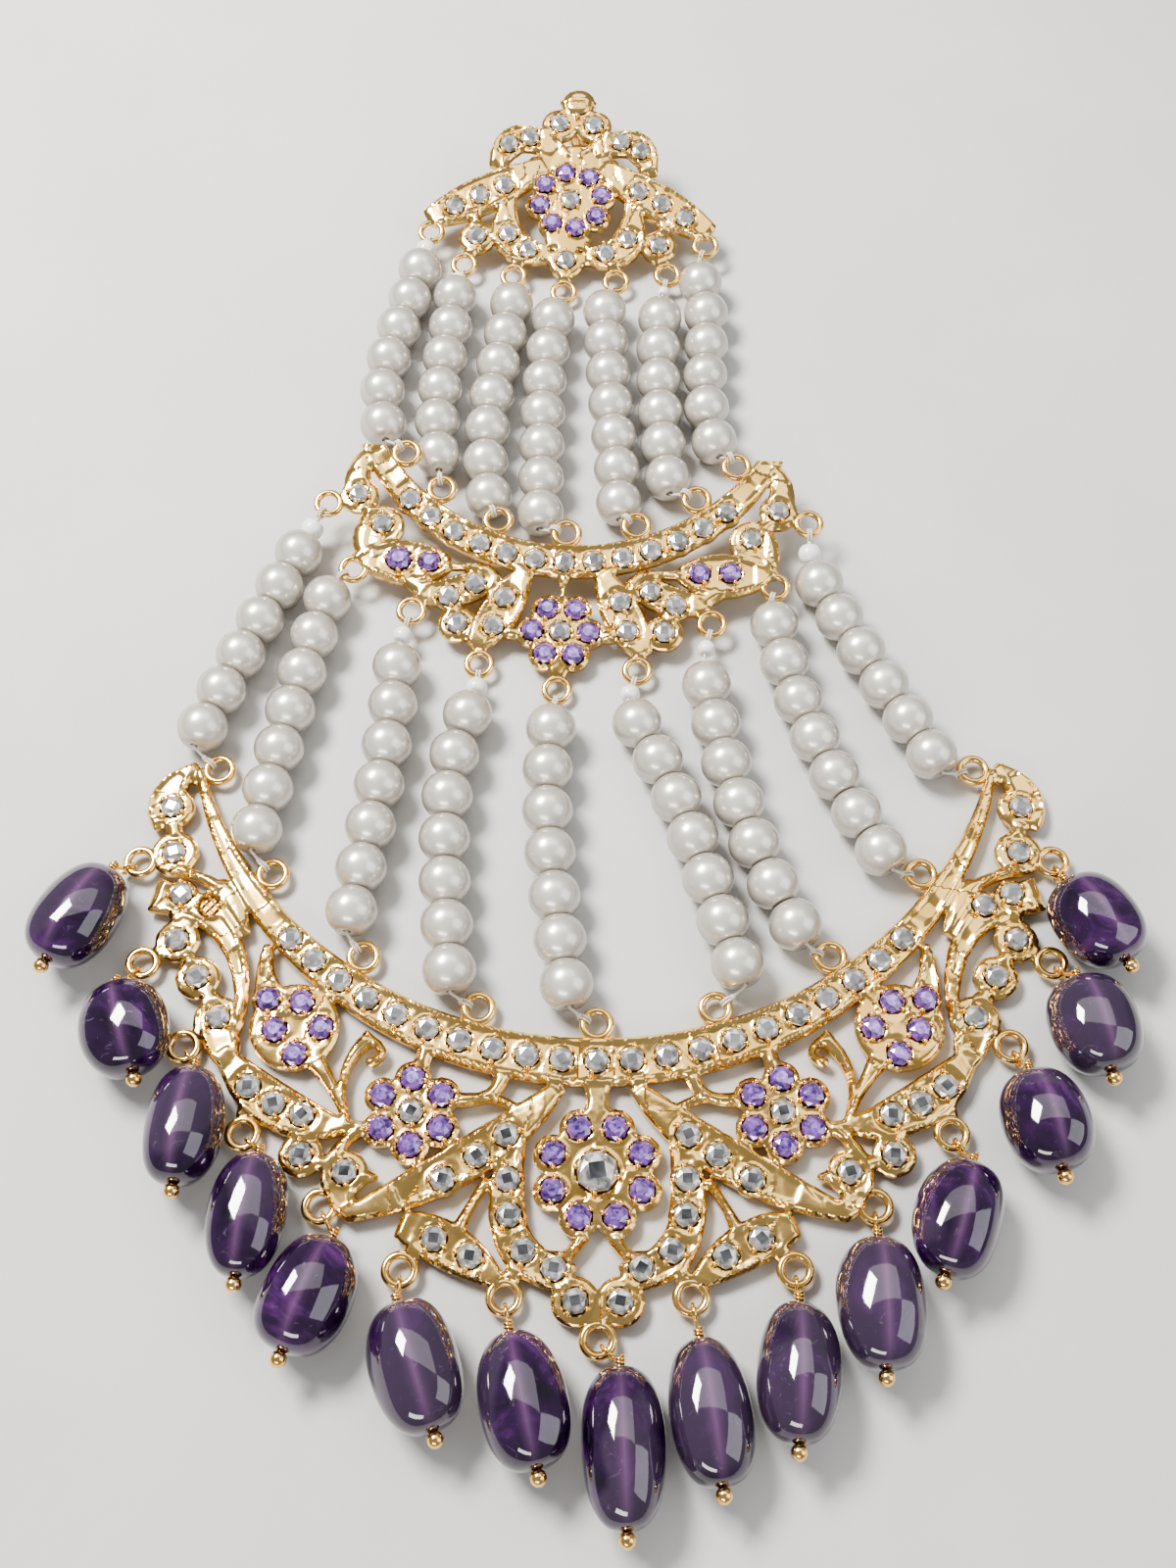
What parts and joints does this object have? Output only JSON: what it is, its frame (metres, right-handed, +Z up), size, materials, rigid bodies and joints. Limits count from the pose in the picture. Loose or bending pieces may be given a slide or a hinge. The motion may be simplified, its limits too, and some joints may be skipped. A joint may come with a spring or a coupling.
{
  "type": "passa jhoomar headpiece",
  "caption": "Fan-shaped side-worn head ornament: pierced cast plates set with stones, joined by strings of pearls, fringed with bead drops and hung from a bail.",
  "frame": {"origin": "middle of the bounding box on the surface the headpiece lies on", "axes": "+Y from the drops up to the bail, +Z up from the surface, +X across the headpiece"},
  "size_m": [0.1132, 0.1766, 0.0086],
  "materials": {
    "gold": "gold-plated bright-cut casting",
    "pearl": "satin pearl lustre",
    "violet_stone": "cut and polished",
    "clear_stone": "cut and polished",
    "amethyst": "tumbled and polished",
    "thread": "fine twisted thread"
  },
  "bodies": {
    "root": {"top_plate": "gold", "middle_plate": "gold", "lower_plate": "gold", "bail": "gold", "top_violet_stones": "violet_stone", "middle_violet_stones": "violet_stone", "lower_violet_stones": "violet_stone", "top_clear_stones": "clear_stone", "lower_clear_stones": "clear_stone", "upper_threads": "thread", "lower_threads": "thread", "upper_pearls_1": "pearl", "upper_pearls_2": "pearl", "upper_pearls_3": "pearl", "upper_pearls_4": "pearl", "upper_pearls_5": "pearl", "upper_pearls_6": "pearl", "upper_pearls_7": "pearl", "lower_pearls_1": "pearl", "lower_pearls_2": "pearl", "lower_pearls_3": "pearl", "lower_pearls_4": "pearl", "lower_pearls_5": "pearl", "lower_pearls_6": "pearl", "lower_pearls_7": "pearl", "lower_pearls_8": "pearl", "lower_pearls_9": "pearl", "amethyst_drop_1": "amethyst", "amethyst_drop_2": "amethyst", "amethyst_drop_3": "amethyst", "amethyst_drop_4": "amethyst", "amethyst_drop_5": "amethyst", "amethyst_drop_6": "amethyst", "amethyst_drop_7": "amethyst", "amethyst_drop_8": "amethyst", "amethyst_drop_9": "amethyst", "amethyst_drop_10": "amethyst", "amethyst_drop_11": "amethyst", "amethyst_drop_12": "amethyst", "amethyst_drop_13": "amethyst", "amethyst_drop_14": "amethyst", "amethyst_drop_15": "amethyst", "head_pin_1": "gold", "head_pin_2": "gold", "head_pin_3": "gold", "head_pin_4": "gold", "head_pin_5": "gold", "head_pin_6": "gold", "head_pin_7": "gold", "head_pin_8": "gold", "head_pin_9": "gold", "head_pin_10": "gold", "head_pin_11": "gold", "head_pin_12": "gold", "head_pin_13": "gold", "head_pin_14": "gold", "head_pin_15": "gold"}
  },
  "joints": []
}
